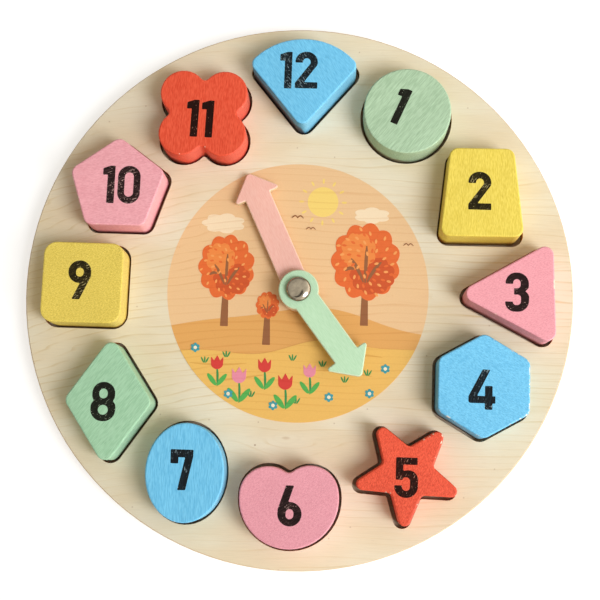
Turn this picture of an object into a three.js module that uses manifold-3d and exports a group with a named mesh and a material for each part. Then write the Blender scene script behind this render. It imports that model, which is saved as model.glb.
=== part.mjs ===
// Wooden puzzle clock: a round plywood dial with twelve shaped recesses, a painted block standing in
// each of them, and two wooden hands that turn on a riveted pivot in the middle.
// Millimetres. +Z points up out of the dial and +Y to twelve o'clock. The origin is the middle of
// the underside, where the clock lies on a table.

import * as THREE from 'three';
import { mergeVertices } from 'three/addons/utils/BufferGeometryUtils.js';
import Module from 'manifold-3d';

const wasm = await Module();
wasm.setup();

// Round stretches: no flat lies further than this inside the arc it stands for
const chordHeight = 0.045;

// The board: a thick face sheet with the recesses sawn through it, glued on a thin back sheet
const boardDiameter = 220;
const faceBoardThickness = 6;
const backBoardThickness = 3;
const boardEdgeChamfer = 0.6;
const cutOverrun = 1;

// The blocks stand on a ring, a share of the board's radius. The pitch is the way along that ring
// from one hour to the next, and the blocks and hands take their sizes from the two.
const blockRingShare = 0.759;
const blockRingRadius = (boardDiameter / 2) * blockRingShare;
const hourPitch = (2 * Math.PI * blockRingRadius) / 12;

// What every block shares. The clearance is the gap all round a block in its recess.
const blockThickness = 18;
const blockCornerRadius = 3.5;
const blockEdgeRound = 0.7;
const blockEdgeSteps = 2;
const recessClearance = 1.15;
const tightestCorner = 0.3;

// The outline of each block, as shares of the pitch
const circleDiameterShare = 0.8;
const trapezoidBaseShare = 0.757;
const trapezoidTopShare = 0.5765;
const trapezoidHeightShare = 0.819;
const triangleBaseShare = 0.961;
const triangleHeightShare = 0.878;
const hexagonAcrossFlatsShare = 0.81;
const starReachShare = 0.567;
const starWaistShare = 0.2265;
const heartBottomShare = 0.439;
const heartLobeShare = 0.252;
const heartLobeLiftShare = 0.03;
const ovalWidthShare = 0.7;
const ovalHeightShare = 0.874;
const rhombusWidthShare = 0.794;
const rhombusHeightShare = 1.169;
const squareSideShare = 0.732;
const pentagonReachShare = 0.4575;
const quatrefoilLobeShare = 0.2105;
const quatrefoilOffsetShare = 0.192;
const fanReachShare = 0.8555;
const fanCrownShare = 0.6405;
const fanHalfAngle = 39.8;

// Corners that are not the common corner radius
const starTipRadius = 2.3;
const starNotchRadius = 2;
const heartNotchRadius = 2.6;
const squareCornerRadius = 5;
const quatrefoilNotchRadius = 1.9;

// Hands. The reach from the pivot to the arrow head is a share of the block ring's radius.
const handThickness = 3;
const handWidth = 10.7;
const handEdgeRound = 0.4;
const handBossDiameter = 16;
const minuteHandReachShare = 0.507;
const hourHandReachShare = 0.383;
const arrowLength = 10.6;
const arrowHalfWidth = 10.4;
const arrowTipRadius = 1.6;
const arrowBarbRadius = 0.9;
const minuteHandAngle = 25.3;
const hourHandAngle = -142.4;

// Pivot: a rivet from the back, washers between all that turns, and a domed cap pressed on the end.
// It is drilled a little off the middle of the board.
const pivotX = 0.7;
const pivotY = -0.45;
const rivetDiameter = 4;
const rivetHoleClearance = 0.3;
const rivetHeadDiameter = 8;
const rivetHeadThickness = 1.2;
const rivetHeadRound = 0.3;
const rearWasherDiameter = 12;
const rearWasherThickness = 0.8;
const rearPocketMargin = 1;
const rearPocketDiameter = rearWasherDiameter + 2 * rearPocketMargin;
const spacerDiameter = 12;
const spacerThickness = 0.8;
const handWasherThickness = 0.5;
const capWasherDiameter = 8.6;
const capWasherThickness = 0.5;
const runningGap = 0.3;
const capDiameter = 9.8;
const capHeight = 2.2;
const capRimRadius = 0.55;
const capCrownDiameter = 6.4;
const capShoulderDrop = 0.35;
const capRimTopAngle = 60;
const capWall = 0.5;
const capCollarDiameter = 6.2;
const rivetTipChamfer = 0.3;
const capFit = 0.15;

// Paints and finishes
const colours = {
  plywood: 0xe8d8b8,
  blue: 0x70c4f1,
  green: 0xa8d6b2,
  yellow: 0xf0dc5a,
  pink: 0xeca0af,
  red: 0xe8583e,
  palePink: 0xefbbb1,
  paleGreen: 0xc0e1c4,
  nickel: 0xb8b0a4,
  steel: 0x9a9c9e,
  nylon: 0xece8dc,
};

const degrees = Math.PI / 180;

// Outlines

// Flats needed for a whole turn at this radius
function flatsPerTurn(radius) {
  const halfStep = Math.acos(1 - Math.min(chordHeight / radius, 1));
  return Math.PI / halfStep;
}

// Points along an arc, both ends included
function arcPoints(x, y, radius, from, to) {
  const flats = Math.max(2, Math.ceil((Math.abs(to - from) / (2 * Math.PI)) * flatsPerTurn(radius)));
  const points = [];
  for (let i = 0; i <= flats; i += 1) {
    const angle = from + ((to - from) * i) / flats;
    points.push(new THREE.Vector2(x + radius * Math.cos(angle), y + radius * Math.sin(angle)));
  }
  return points;
}

// A whole ellipse, or a circle when both radii are alike
function ellipseOutline(radiusX, radiusY) {
  const flats = 4 * Math.ceil(flatsPerTurn(Math.max(radiusX, radiusY)) / 4);
  const points = [];
  for (let i = 0; i < flats; i += 1) {
    const angle = (2 * Math.PI * i) / flats;
    points.push(new THREE.Vector2(radiusX * Math.cos(angle), radiusY * Math.sin(angle)));
  }
  return points;
}

// A polygon with a rounded corner at each [x, y, radius], anticlockwise, pushed outwards by grow.
// A corner that points outwards gains the growth in its radius and one that points inwards loses it.
function roundedOutline(corners, grow) {
  const points = [];
  const count = corners.length;
  for (let i = 0; i < count; i += 1) {
    const here = new THREE.Vector2(corners[i][0], corners[i][1]);
    const before = corners[(i + count - 1) % count];
    const after = corners[(i + 1) % count];
    const comingIn = here.clone().sub(new THREE.Vector2(before[0], before[1])).normalize();
    const goingOut = new THREE.Vector2(after[0], after[1]).sub(here).normalize();
    const outFirst = new THREE.Vector2(comingIn.y, -comingIn.x);
    const outSecond = new THREE.Vector2(goingOut.y, -goingOut.x);
    const turn = Math.atan2(comingIn.cross(goingOut), comingIn.dot(goingOut));
    const side = Math.sign(turn);
    const radius = Math.max(corners[i][2] + side * grow, tightestCorner);
    const spread = outFirst.clone().add(outSecond).divideScalar(1 + outFirst.dot(outSecond));
    const corner = here.clone().addScaledVector(spread, grow);
    const start = corner.clone().addScaledVector(comingIn, -radius * Math.tan(Math.abs(turn) / 2));
    const centre = start.clone().addScaledVector(outFirst, -side * radius);
    const from = Math.atan2(start.y - centre.y, start.x - centre.x);
    points.push(...arcPoints(centre.x, centre.y, radius, from, from + turn));
  }
  return points;
}

// Corners of a regular polygon, the first one at twelve o'clock
function regularCorners(count, radius, cornerRadius) {
  const corners = [];
  for (let i = 0; i < count; i += 1) {
    const angle = Math.PI / 2 + (2 * Math.PI * i) / count;
    corners.push([radius * Math.cos(angle), radius * Math.sin(angle), cornerRadius]);
  }
  return corners;
}

function circleOutline(grow) {
  const radius = (circleDiameterShare * hourPitch) / 2 + grow;
  return ellipseOutline(radius, radius);
}

function trapezoidOutline(grow) {
  const halfBase = (trapezoidBaseShare * hourPitch) / 2;
  const halfTop = (trapezoidTopShare * hourPitch) / 2;
  const halfHeight = (trapezoidHeightShare * hourPitch) / 2;
  return roundedOutline([
    [-halfBase, -halfHeight, blockCornerRadius],
    [halfBase, -halfHeight, blockCornerRadius],
    [halfTop, halfHeight, blockCornerRadius],
    [-halfTop, halfHeight, blockCornerRadius],
  ], grow);
}

// Points to the middle of the dial, to the left of its own origin
function triangleOutline(grow) {
  const halfBase = (triangleBaseShare * hourPitch) / 2;
  const halfHeight = (triangleHeightShare * hourPitch) / 2;
  return roundedOutline([
    [-halfHeight, 0, blockCornerRadius],
    [halfHeight, -halfBase, blockCornerRadius],
    [halfHeight, halfBase, blockCornerRadius],
  ], grow);
}

function hexagonOutline(grow) {
  const halfAcrossFlats = (hexagonAcrossFlatsShare * hourPitch) / 2;
  const reach = halfAcrossFlats / Math.cos(Math.PI / 6);
  return roundedOutline(regularCorners(6, reach, blockCornerRadius), grow);
}

function starOutline(grow) {
  const tipCount = 5;
  const corners = [];
  for (let i = 0; i < 2 * tipCount; i += 1) {
    const angle = Math.PI / 2 + (Math.PI * i) / tipCount;
    const isTip = i % 2 === 0;
    const reach = (isTip ? starReachShare : starWaistShare) * hourPitch;
    corners.push([
      reach * Math.cos(angle),
      reach * Math.sin(angle),
      isTip ? starTipRadius : starNotchRadius,
    ]);
  }
  return roundedOutline(corners, grow);
}

// One broad arc below, and two lobes that run into it smoothly, with a small rounded notch between them
function heartOutline(grow) {
  const bottom = heartBottomShare * hourPitch + grow;
  const lobe = heartLobeShare * hourPitch + grow;
  const notch = Math.max(heartNotchRadius - grow, tightestCorner);
  const lobeReach = bottom - lobe;
  const lobeY = heartLobeLiftShare * hourPitch;
  const lobeX = Math.sqrt(lobeReach ** 2 - lobeY ** 2);
  const notchY = lobeY + Math.sqrt((lobe + notch) ** 2 - lobeX ** 2);
  const joinAngle = Math.atan2(lobeY, lobeX);
  const notchAngle = Math.atan2(notchY - lobeY, lobeX);
  return [
    ...arcPoints(0, 0, bottom, -Math.PI - joinAngle, joinAngle),
    ...arcPoints(lobeX, lobeY, lobe, joinAngle, Math.PI - notchAngle).slice(1),
    ...arcPoints(0, notchY, notch, -notchAngle, notchAngle - Math.PI),
    ...arcPoints(-lobeX, lobeY, lobe, notchAngle, Math.PI - joinAngle).slice(0, -1),
  ];
}

function ovalOutline(grow) {
  const halfWidth = (ovalWidthShare * hourPitch) / 2;
  const halfHeight = (ovalHeightShare * hourPitch) / 2;
  return ellipseOutline(halfWidth + grow, halfHeight + grow);
}

function rhombusOutline(grow) {
  const halfWidth = (rhombusWidthShare * hourPitch) / 2;
  const halfHeight = (rhombusHeightShare * hourPitch) / 2;
  return roundedOutline([
    [0, -halfHeight, blockCornerRadius],
    [halfWidth, 0, blockCornerRadius],
    [0, halfHeight, blockCornerRadius],
    [-halfWidth, 0, blockCornerRadius],
  ], grow);
}

function squareOutline(grow) {
  const half = (squareSideShare * hourPitch) / 2;
  return roundedOutline([
    [-half, -half, squareCornerRadius],
    [half, -half, squareCornerRadius],
    [half, half, squareCornerRadius],
    [-half, half, squareCornerRadius],
  ], grow);
}

function pentagonOutline(grow) {
  const reach = pentagonReachShare * hourPitch;
  return roundedOutline(regularCorners(5, reach, blockCornerRadius), grow);
}

// Four round lobes on the diagonals, with a small arc in each notch that touches both its neighbours
function quatrefoilOutline(grow) {
  const lobe = quatrefoilLobeShare * hourPitch + grow;
  const notch = Math.max(quatrefoilNotchRadius - grow, tightestCorner);
  const offset = quatrefoilOffsetShare * hourPitch;
  const notchReach = offset + Math.sqrt((lobe + notch) ** 2 - offset ** 2);
  const lean = Math.atan2(offset, notchReach - offset);
  const points = [];
  for (let quarter = 0; quarter < 4; quarter += 1) {
    const turn = (quarter * Math.PI) / 2;
    const quarterPoints = [
      ...arcPoints(offset, offset, lobe, -lean, Math.PI / 2 + lean),
      ...arcPoints(0, notchReach, notch, lean - Math.PI / 2, -lean - Math.PI / 2),
    ];
    for (const point of quarterPoints) {
      points.push(point.rotateAround(new THREE.Vector2(0, 0), turn));
    }
  }
  return points;
}

// A slice of a disc that points to the middle of the dial: two straight sides and a crown arc,
// set so that its origin is halfway up
function fanOutline(grow) {
  const half = fanHalfAngle * degrees;
  const fanReach = fanReachShare * hourPitch;
  const crownRadius = fanCrownShare * hourPitch;
  const corner = blockCornerRadius + grow;
  const apexY = -fanReach / 2;
  const crownY = fanReach / 2 - crownRadius;
  const tipY = apexY + blockCornerRadius / Math.sin(half);
  // The corner circle rolls inside the crown and along the side: its centre is on both offset lines
  const reach = crownRadius - blockCornerRadius;
  const across = crownY - tipY;
  const along = across * Math.cos(half) + Math.sqrt(reach ** 2 - (across * Math.sin(half)) ** 2);
  const cornerX = along * Math.sin(half);
  const cornerY = tipY + along * Math.cos(half);
  const crownAngle = Math.atan2(cornerY - crownY, cornerX);
  return [
    ...arcPoints(0, tipY, corner, half - Math.PI, -half),
    ...arcPoints(cornerX, cornerY, corner, -half, crownAngle),
    ...arcPoints(0, crownY, crownRadius + grow, crownAngle, Math.PI - crownAngle).slice(1, -1),
    ...arcPoints(-cornerX, cornerY, corner, Math.PI - crownAngle, half + Math.PI),
  ];
}

// The twelve blocks by hour. Where a recess sits is a share of the ring radius at a swing from its
// hour mark, turn is how far its outline is turned, and the rest says how the block lies in it:
// shifted by shares of the clearance, and turned a little more.
const blocks = [
  { name: 'block_01_circle', hour: 1, outline: circleOutline, colour: colours.green,
    ringShare: 1.003, swing: -0.1, turn: 0, restShares: [-0.1, 0], restTurn: 0 },
  { name: 'block_02_trapezoid', hour: 2, outline: trapezoidOutline, colour: colours.yellow,
    ringShare: 0.988, swing: 1.2, turn: 0.7, restShares: [-0.4, 0.4], restTurn: 0 },
  { name: 'block_03_triangle', hour: 3, outline: triangleOutline, colour: colours.pink,
    ringShare: 0.974, swing: 0, turn: 1.9, restShares: [0.1, 0.1], restTurn: 0 },
  { name: 'block_04_hexagon', hour: 4, outline: hexagonOutline, colour: colours.blue,
    ringShare: 0.982, swing: -3.7, turn: 0, restShares: [0.1, 0.1], restTurn: 0 },
  { name: 'block_05_star', hour: 5, outline: starOutline, colour: colours.red,
    ringShare: 1.004, swing: -2.3, turn: 33.5, restShares: [0.3, 0.3], restTurn: 0 },
  { name: 'block_06_heart', hour: 6, outline: heartOutline, colour: colours.pink,
    ringShare: 0.981, swing: 0, turn: 1, restShares: [0.1, 0.2], restTurn: 2 },
  { name: 'block_07_oval', hour: 7, outline: ovalOutline, colour: colours.blue,
    ringShare: 1.007, swing: -0.9, turn: 0, restShares: [0.5, 0], restTurn: 0 },
  { name: 'block_08_rhombus', hour: 8, outline: rhombusOutline, colour: colours.green,
    ringShare: 1.0255, swing: -3.3, turn: 0, restShares: [0, 0], restTurn: 0 },
  { name: 'block_09_square', hour: 9, outline: squareOutline, colour: colours.yellow,
    ringShare: 1.018, swing: -0.4, turn: 0, restShares: [0.3, -0.2], restTurn: 0 },
  { name: 'block_10_pentagon', hour: 10, outline: pentagonOutline, colour: colours.pink,
    ringShare: 0.987, swing: -2, turn: 0, restShares: [-0.4, 0], restTurn: 0 },
  { name: 'block_11_quatrefoil', hour: 11, outline: quatrefoilOutline, colour: colours.red,
    ringShare: 0.963, swing: -0.1, turn: 0, restShares: [0.1, -0.1], restTurn: 0 },
  { name: 'block_12_fan', hour: 12, outline: fanOutline, colour: colours.blue,
    ringShare: 0.993, swing: 0, turn: 0, restShares: [-0.3, 0], restTurn: 0 },
];

// The middle of a recess on the dial
function recessPlace(block) {
  const angle = Math.PI / 2 - (block.hour * 30 + block.swing) * degrees;
  const reach = blockRingRadius * block.ringShare;
  return new THREE.Vector2(reach * Math.cos(angle), reach * Math.sin(angle));
}

// Solids

// Keeps only positions, merges the vertices that meet and drops triangles with no area
function closedGeometry(geometry) {
  geometry.deleteAttribute('normal');
  geometry.deleteAttribute('uv');
  const merged = mergeVertices(geometry);
  const kept = [];
  const index = merged.index.array;
  for (let i = 0; i < index.length; i += 3) {
    const [a, b, c] = [index[i], index[i + 1], index[i + 2]];
    if (a !== b && b !== c && c !== a) {
      kept.push(a, b, c);
    }
  }
  merged.setIndex(kept);
  return merged;
}

function toManifold(geometry) {
  const vertProperties = new Float32Array(geometry.attributes.position.array);
  const triVerts = new Uint32Array(geometry.index.array);
  return new wasm.Manifold(new wasm.Mesh({ numProp: 3, vertProperties, triVerts }));
}

function fromManifold(solid) {
  const mesh = solid.getMesh();
  const geometry = new THREE.BufferGeometry();
  geometry.setAttribute('position', new THREE.BufferAttribute(mesh.vertProperties, 3));
  geometry.setIndex(new THREE.BufferAttribute(mesh.triVerts, 1));
  return geometry;
}

// An outline raised into a slab that stands on its own z = 0, with its long edges rounded
function slab(outline, thickness, edgeRound, edgeSteps, holeRadius) {
  const shape = new THREE.Shape(outline);
  if (holeRadius > 0) {
    shape.holes.push(new THREE.Path(ellipseOutline(holeRadius, holeRadius)));
  }
  const geometry = new THREE.ExtrudeGeometry(shape, {
    depth: thickness - 2 * edgeRound,
    bevelEnabled: edgeRound > 0,
    bevelThickness: edgeRound,
    bevelSize: edgeRound,
    bevelOffset: -edgeRound,
    bevelSegments: edgeSteps,
  });
  geometry.translate(0, 0, edgeRound);
  return closedGeometry(geometry);
}

// A profile of [radius, height] pairs turned about the Z axis
function turned(profile, facetRadius) {
  const points = profile.map(([radius, height]) => new THREE.Vector2(radius, height));
  const geometry = new THREE.LatheGeometry(points, 4 * Math.ceil(flatsPerTurn(facetRadius) / 4));
  geometry.rotateX(Math.PI / 2);
  return closedGeometry(geometry);
}

// A flat ring with square edges
function washer(diameter, thickness) {
  const outer = diameter / 2;
  const inner = rivetDiameter / 2 + rivetHoleClearance;
  return turned([
    [inner, 0],
    [outer, 0],
    [outer, thickness],
    [inner, thickness],
    [inner, 0],
  ], outer);
}

// A round sheet. Its rim is chamfered on the side that stays open once the two sheets are glued.
function roundSheet(thickness, chamferBelow, chamferAbove) {
  const radius = boardDiameter / 2;
  return turned([
    [0, 0],
    [radius - chamferBelow, 0],
    [radius, chamferBelow],
    [radius, thickness - chamferAbove],
    [radius - chamferAbove, thickness],
    [0, thickness],
  ], radius);
}

// A straight-sided cutter that runs through a sheet of this thickness
function throughCutter(outline, thickness) {
  return slab(outline, thickness + 2 * cutOverrun, 0, 1, 0).translate(0, 0, -cutOverrun);
}

function faceBoard() {
  const holeRadius = rivetDiameter / 2 + rivetHoleClearance;
  const rivetHole = throughCutter(ellipseOutline(holeRadius, holeRadius), faceBoardThickness);
  rivetHole.translate(pivotX, pivotY, 0);
  const sheet = roundSheet(faceBoardThickness, 0, boardEdgeChamfer);
  let board = toManifold(sheet).subtract(toManifold(rivetHole));
  for (const block of blocks) {
    const place = recessPlace(block);
    const cutter = throughCutter(block.outline(recessClearance), faceBoardThickness);
    cutter.rotateZ(block.turn * degrees).translate(place.x, place.y, 0);
    board = board.subtract(toManifold(cutter));
  }
  return fromManifold(board);
}

function backBoard() {
  const pocketRadius = rearPocketDiameter / 2;
  const pocket = throughCutter(ellipseOutline(pocketRadius, pocketRadius), backBoardThickness);
  pocket.translate(pivotX, pivotY, 0);
  const sheet = roundSheet(backBoardThickness, boardEdgeChamfer, 0);
  return fromManifold(toManifold(sheet).subtract(toManifold(pocket)));
}

// A round boss on the pivot, a straight arm and an arrow head, pointing to its own +Y
function handOutline(reach) {
  const bossRadius = handBossDiameter / 2;
  const half = handWidth / 2;
  const leave = Math.asin(half / bossRadius);
  const boss = arcPoints(0, 0, bossRadius, Math.PI / 2 + leave, (5 * Math.PI) / 2 - leave);
  const head = roundedOutline([
    [half, 0, 0],
    [half, reach, tightestCorner],
    [arrowHalfWidth, reach, arrowBarbRadius],
    [0, reach + arrowLength, arrowTipRadius],
    [-arrowHalfWidth, reach, arrowBarbRadius],
    [-half, reach, tightestCorner],
    [-half, 0, 0],
  ], 0);
  // The two corners of the arm at the pivot lie inside the boss and are left out
  return [...boss, ...head.filter((point) => point.y > bossRadius)];
}

function hand(reach) {
  const holeRadius = rivetDiameter / 2 + rivetHoleClearance;
  return slab(handOutline(reach), handThickness, handEdgeRound, 1, holeRadius);
}

// A flat head at the back, a plain shank and a chamfered tip, from the underside of the head up
function rivet(shankLength) {
  const head = rivetHeadDiameter / 2;
  const shank = rivetDiameter / 2;
  const tip = rivetHeadThickness + shankLength;
  return turned([
    [0, 0],
    [head - rivetHeadRound, 0],
    [head, rivetHeadRound],
    [head, rivetHeadThickness],
    [shank, rivetHeadThickness],
    [shank, tip - rivetTipChamfer],
    [shank - rivetTipChamfer, tip],
    [0, tip],
  ], head);
}

// A pressed cap: nearly flat crown, sloping shoulder, rolled rim, and a collar inside that grips the shank
function cap() {
  const rimCentre = capDiameter / 2 - capRimRadius;
  const crown = capCrownDiameter / 2;
  const crownTop = capHeight - capShoulderDrop;
  const collar = capCollarDiameter / 2;
  const socket = rivetDiameter / 2 + capFit;
  const roof = crownTop - capWall;
  const rimTop = capRimTopAngle * degrees;
  const rim = arcPoints(rimCentre, capRimRadius, capRimRadius, -Math.PI / 2, rimTop);
  return turned([
    [rimCentre - capRimRadius, 0],
    ...rim.map((point) => [point.x, point.y]),
    [crown, crownTop],
    [crown / 2, capHeight - capShoulderDrop / 4],
    [0, capHeight],
    [0, roof],
    [socket, roof],
    [socket, 0],
    [collar, 0],
    [collar, roof - capWall],
    [rimCentre - capRimRadius, 2 * capRimRadius],
    [rimCentre - capRimRadius, 0],
  ], capDiameter / 2);
}

// Assembly

const clock = new THREE.Group();

function addPart(parent, name, geometry, colour, roughness, metalness) {
  const material = new THREE.MeshStandardMaterial({ color: colour, roughness, metalness });
  const mesh = new THREE.Mesh(geometry, material);
  mesh.name = name;
  parent.add(mesh);
  return mesh;
}

const boardTop = backBoardThickness + faceBoardThickness;

addPart(clock, 'back_board', backBoard(), colours.plywood, 0.7, 0);
addPart(clock, 'face_board', faceBoard(), colours.plywood, 0.6, 0).position.z = backBoardThickness;

for (const block of blocks) {
  const outline = block.outline(0);
  const geometry = slab(outline, blockThickness, blockEdgeRound, blockEdgeSteps, 0);
  const mesh = addPart(clock, block.name, geometry, block.colour, 0.55, 0);
  const place = recessPlace(block);
  mesh.position.set(
    place.x + block.restShares[0] * recessClearance,
    place.y + block.restShares[1] * recessClearance,
    backBoardThickness,
  );
  mesh.rotation.z = (block.turn + block.restTurn) * degrees;
}

// The pivot's pieces, each laid on the one below it
const pivot = new THREE.Group();
pivot.position.set(pivotX, pivotY, 0);
clock.add(pivot);
const spacerBase = boardTop;
const minuteHandBase = spacerBase + spacerThickness + runningGap;
const handWasherBase = minuteHandBase + handThickness + runningGap;
const hourHandBase = handWasherBase + handWasherThickness + runningGap;
const capWasherBase = hourHandBase + handThickness + runningGap;
const capBase = capWasherBase + capWasherThickness;
const rearWasherBase = backBoardThickness - rearWasherThickness;
const rivetBase = rearWasherBase - rivetHeadThickness;
const shankLength = capBase + capHeight - capShoulderDrop - capWall - capFit - rearWasherBase;

addPart(pivot, 'rear_washer', washer(rearWasherDiameter, rearWasherThickness), colours.steel, 0.4, 1)
  .position.z = rearWasherBase;
addPart(pivot, 'pivot_rivet', rivet(shankLength), colours.steel, 0.35, 1).position.z = rivetBase;
addPart(pivot, 'spacer_washer', washer(spacerDiameter, spacerThickness), colours.nylon, 0.6, 0)
  .position.z = spacerBase;
const minuteHand = addPart(
  pivot, 'minute_hand', hand(minuteHandReachShare * blockRingRadius), colours.palePink, 0.6, 0,
);
minuteHand.position.z = minuteHandBase;
minuteHand.rotation.z = minuteHandAngle * degrees;
addPart(pivot, 'hand_washer', washer(spacerDiameter, handWasherThickness), colours.nylon, 0.6, 0)
  .position.z = handWasherBase;
const hourHand = addPart(
  pivot, 'hour_hand', hand(hourHandReachShare * blockRingRadius), colours.paleGreen, 0.6, 0,
);
hourHand.position.z = hourHandBase;
hourHand.rotation.z = hourHandAngle * degrees;
addPart(pivot, 'cap_washer', washer(capWasherDiameter, capWasherThickness), colours.steel, 0.4, 1)
  .position.z = capWasherBase;
addPart(pivot, 'pivot_cap', cap(), colours.nickel, 0.2, 1).position.z = capBase;

export default clock;
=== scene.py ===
import math

import bpy
from mathutils import Matrix, Quaternion, Vector


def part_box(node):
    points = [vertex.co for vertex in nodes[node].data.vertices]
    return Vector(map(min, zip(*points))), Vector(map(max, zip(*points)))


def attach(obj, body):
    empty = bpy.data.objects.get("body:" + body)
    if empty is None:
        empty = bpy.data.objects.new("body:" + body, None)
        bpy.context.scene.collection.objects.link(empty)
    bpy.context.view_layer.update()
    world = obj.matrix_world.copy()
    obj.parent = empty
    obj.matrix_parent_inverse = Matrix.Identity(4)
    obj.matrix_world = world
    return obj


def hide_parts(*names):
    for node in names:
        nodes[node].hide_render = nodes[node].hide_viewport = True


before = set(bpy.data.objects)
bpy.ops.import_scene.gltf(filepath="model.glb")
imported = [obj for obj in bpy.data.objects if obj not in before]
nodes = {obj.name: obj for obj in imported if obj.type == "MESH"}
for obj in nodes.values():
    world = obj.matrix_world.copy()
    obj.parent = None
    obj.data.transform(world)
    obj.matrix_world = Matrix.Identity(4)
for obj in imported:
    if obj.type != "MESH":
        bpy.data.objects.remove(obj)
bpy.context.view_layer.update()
scene = bpy.context.scene
mm = 0.001
print("frame loaded,", len(nodes), "nodes")


# Small tools

def workOn(piece):
    bpy.ops.object.select_all(action="DESELECT")
    piece.select_set(True)
    bpy.context.view_layer.objects.active = piece


def editMesh(piece, selected="SELECT"):
    workOn(piece)
    bpy.ops.object.mode_set(mode="EDIT")
    bpy.ops.mesh.select_mode(type="VERT")
    bpy.ops.mesh.select_all(action=selected)


def leaveMesh():
    bpy.ops.object.mode_set(mode="OBJECT")


def openWhere(piece, test):
    # edit mode, with only those vertices selected whose place passes the test
    editMesh(piece, "DESELECT")
    leaveMesh()
    for vertex in piece.data.vertices:
        vertex.select = test(vertex.co)
    bpy.ops.object.mode_set(mode="EDIT")


def applyModifier(piece, kind, **settings):
    modifier = piece.modifiers.new(kind.lower(), kind)
    for key, value in settings.items():
        setattr(modifier, key, value)
    workOn(piece)
    bpy.ops.object.modifier_apply(modifier=modifier.name)


def smoothFlats(piece, angle):
    # soft corners, and flats that stay flat right up to them
    workOn(piece)
    bpy.ops.object.shade_smooth_by_angle(angle=math.radians(angle))
    applyModifier(piece, "WEIGHTED_NORMAL", keep_sharp=True, weight=80)


def easeCorners(piece, width):
    # takes the sharpness off every corner of more than 40 degrees
    applyModifier(piece, "BEVEL", width=width * mm, segments=2, limit_method="ANGLE",
                  angle_limit=math.radians(40))
    smoothFlats(piece, 50)


def cadCopy(node, name):
    # a merged copy of a CAD node, ready for finer work
    piece = bpy.data.objects.new(name, nodes[node].data.copy())
    scene.collection.objects.link(piece)
    piece.data.materials.clear()
    workOn(piece)
    bpy.ops.mesh.customdata_custom_splitnormals_clear()
    editMesh(piece)
    bpy.ops.mesh.remove_doubles(threshold=0.002 * mm)
    bpy.ops.mesh.dissolve_limited(angle_limit=math.radians(0.5))
    leaveMesh()
    return piece


def dress(piece, material, body, node=None):
    # gives a piece its material, its body and the CAD node that it stands for
    piece.data.materials.append(material)
    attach(piece, body)
    if node:
        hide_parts(node)


# Shader tools

def photoColour(red, green, blue):
    # a colour as the eye reads it, 0 to 255, made linear
    parts = [part / 255 for part in (red, green, blue)]
    return (*[p / 12.92 if p <= 0.04045 else ((p + 0.055) / 1.055) ** 2.4 for p in parts], 1.0)


class Channel:
    # one output of a node; arithmetic on it adds Math nodes
    def __init__(self, finish, socket):
        self.finish = finish
        self.socket = socket

    def math(self, operation, *others):
        return self.finish.node("ShaderNodeMath", {"operation": operation}, [self, *others])

    def after(self, operation, first):
        return self.finish.node("ShaderNodeMath", {"operation": operation}, [first, self])

    def __add__(self, other):
        return self.math("ADD", other)

    def __radd__(self, other):
        return self.after("ADD", other)

    def __sub__(self, other):
        return self.math("SUBTRACT", other)

    def __rsub__(self, other):
        return self.after("SUBTRACT", other)

    def __mul__(self, other):
        return self.math("MULTIPLY", other)

    def __rmul__(self, other):
        return self.after("MULTIPLY", other)

    def __truediv__(self, other):
        return self.math("DIVIDE", other)

    def __pow__(self, other):
        return self.math("POWER", other)

    def __neg__(self):
        return self.math("MULTIPLY", -1)

    def __abs__(self):
        return self.math("ABSOLUTE")


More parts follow.
